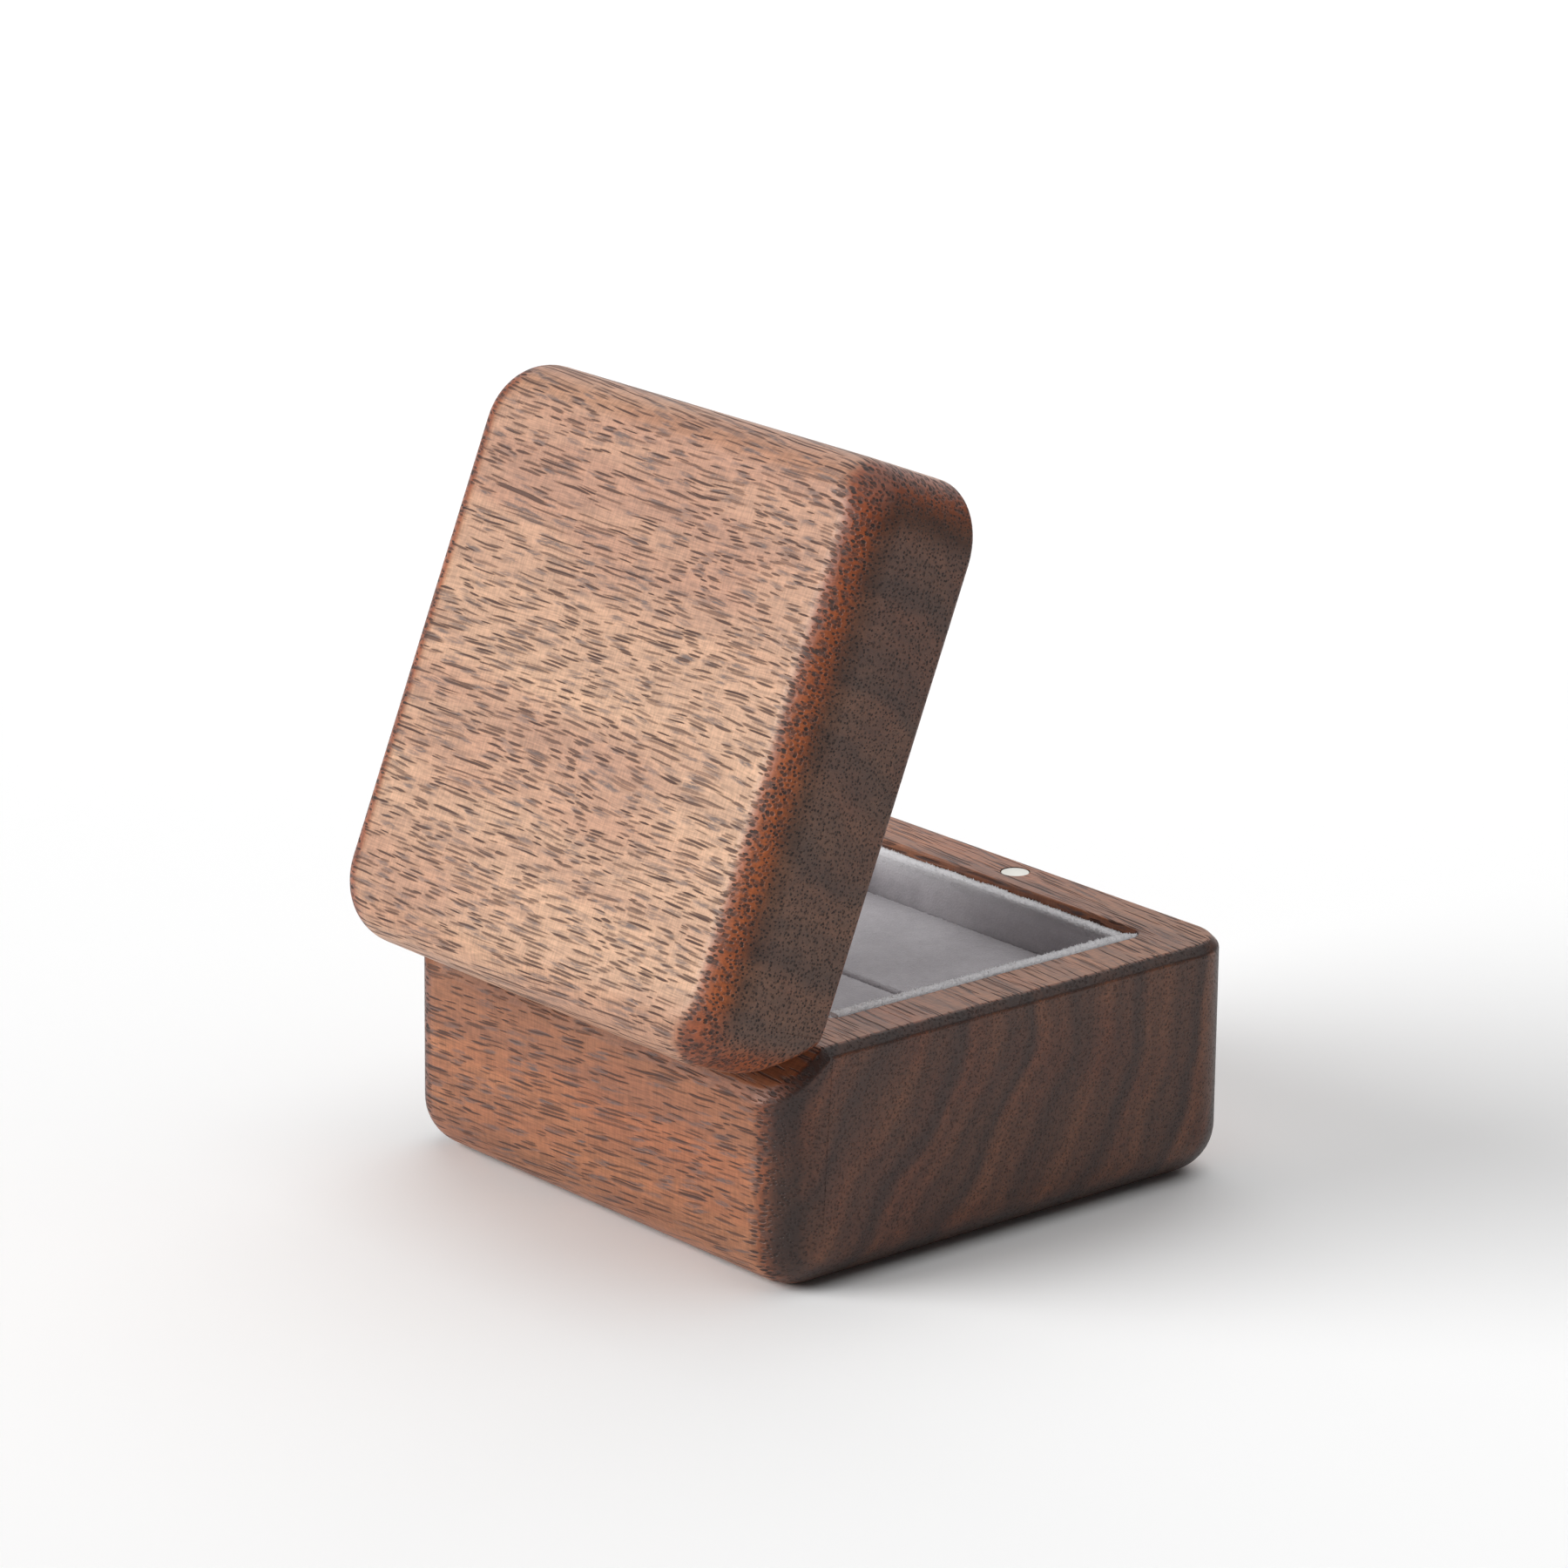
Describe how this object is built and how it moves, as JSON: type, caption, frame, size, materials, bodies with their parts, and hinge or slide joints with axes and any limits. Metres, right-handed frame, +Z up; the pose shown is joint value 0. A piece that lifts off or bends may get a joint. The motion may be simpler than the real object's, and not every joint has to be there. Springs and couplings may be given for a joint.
{
  "type": "ring box",
  "caption": "Square hinged ring box of solid walnut with rounded corners, bevelled rear rims, magnetic closing lid, velvet-lined walls and a split velvet ring pad.",
  "frame": {"origin": "centre of the base's flat underside, on the surface the box stands on", "axes": "+Z up, -Y towards the front rim with the magnet, +Y towards the hinge, +X to the right seen from the front"},
  "size_m": [0.06, 0.0695, 0.0804],
  "materials": {
    "walnut": "oiled satin walnut with open pores",
    "velvet": "short-pile grey velvet",
    "card": "matte grey card",
    "brass": "turned satin brass",
    "steel": "polished pin",
    "nickel": "satin nickel plating"
  },
  "bodies": {
    "base": {"base_body": "walnut", "base_magnet": "nickel", "pad_card": "card", "pad_front": "velvet", "pad_rear": "velvet", "base_lining_front": "velvet", "base_lining_rear": "velvet", "base_lining_left": "velvet", "base_lining_right": "velvet", "hinge_left_base": "brass", "hinge_right_base": "brass", "hinge_left_pin": "steel", "hinge_right_pin": "steel"},
    "lid": {"lid_body": "walnut", "lid_magnet": "nickel", "lid_pad": "velvet", "lid_lining_front": "velvet", "lid_lining_rear": "velvet", "lid_lining_left": "velvet", "lid_lining_right": "velvet", "hinge_left_lid": "brass", "hinge_right_lid": "brass"}
  },
  "joints": [
    {"name": "lid_hinge", "type": "hinge", "parent": "base", "child": "lid", "pos_m": [0, 0.025, 0.0251], "axis": [-1, 0, 0], "range_deg": [-68, 17]}
  ]
}
